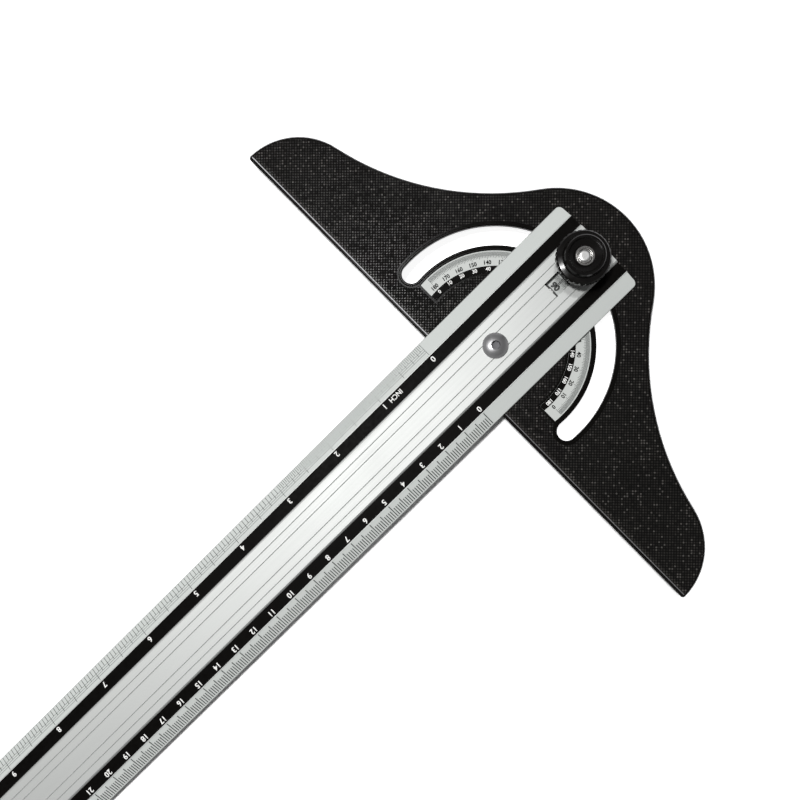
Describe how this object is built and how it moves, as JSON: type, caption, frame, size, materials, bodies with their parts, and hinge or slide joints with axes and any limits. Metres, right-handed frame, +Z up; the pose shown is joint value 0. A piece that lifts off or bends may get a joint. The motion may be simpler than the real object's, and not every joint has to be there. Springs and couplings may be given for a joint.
{
  "type": "adjustable drafting t-square",
  "caption": "Ruled aluminium blade that swings on a protractor head with a straight fence and locks with a knob in an arc slot.",
  "frame": {"origin": "centre of the head's fence, the straight face that bears on a board's edge, half way up its thickness", "axes": "+X square to the fence, along the blade to its far end; +Y along the fence; +Z up, from the head to the blade and the knob"},
  "size_m": [0.707, 0.2344, 0.0239],
  "materials": {
    "black_abs": "fine square embossed grain",
    "printed_scale": "satin, printed",
    "anodised_aluminium": "brushed and anodised, printed scales",
    "clear_acrylic": "clear",
    "brass": "turned",
    "white_nylon": "satin",
    "bright_steel": "nickel plated",
    "nickel_steel": "nickel plated",
    "zinc_steel": "zinc plated",
    "black_gloss": "gloss, fluted rim"
  },
  "bodies": {
    "head": {"head": "black_abs", "protractor_scale": "printed_scale", "pivot_bush": "brass", "pivot_washer": "white_nylon", "pivot_insert": "brass", "pivot_screw": "bright_steel"},
    "blade": {"blade": "anodised_aluminium", "cursor_window": "clear_acrylic"},
    "knob": {"lock_knob": "black_gloss", "knob_insert": "nickel_steel", "knob_washer": "bright_steel"},
    "clamp": {"clamp_shoe": "zinc_steel", "clamp_bolt": "bright_steel"}
  },
  "joints": [
    {"name": "blade_swing", "type": "hinge", "parent": "head", "child": "blade", "pos_m": [-0.016, 0, 0.0053], "axis": [0, 0, 1], "range_deg": [-90, 90]},
    {"name": "knob_turn", "type": "hinge", "parent": "blade", "child": "knob", "pos_m": [-0.0578, 0, 0.0068], "axis": [0, 0, 1], "range_deg": [0, 360]},
    {"name": "clamp_release", "type": "slide", "parent": "blade", "child": "clamp", "axis": [0, 0, -1], "range_m": [0, 0.00081]}
  ],
  "couplings": [
    {"joint": "clamp_release", "follows": "knob_turn", "m_per_rad": 0.00012732}
  ]
}
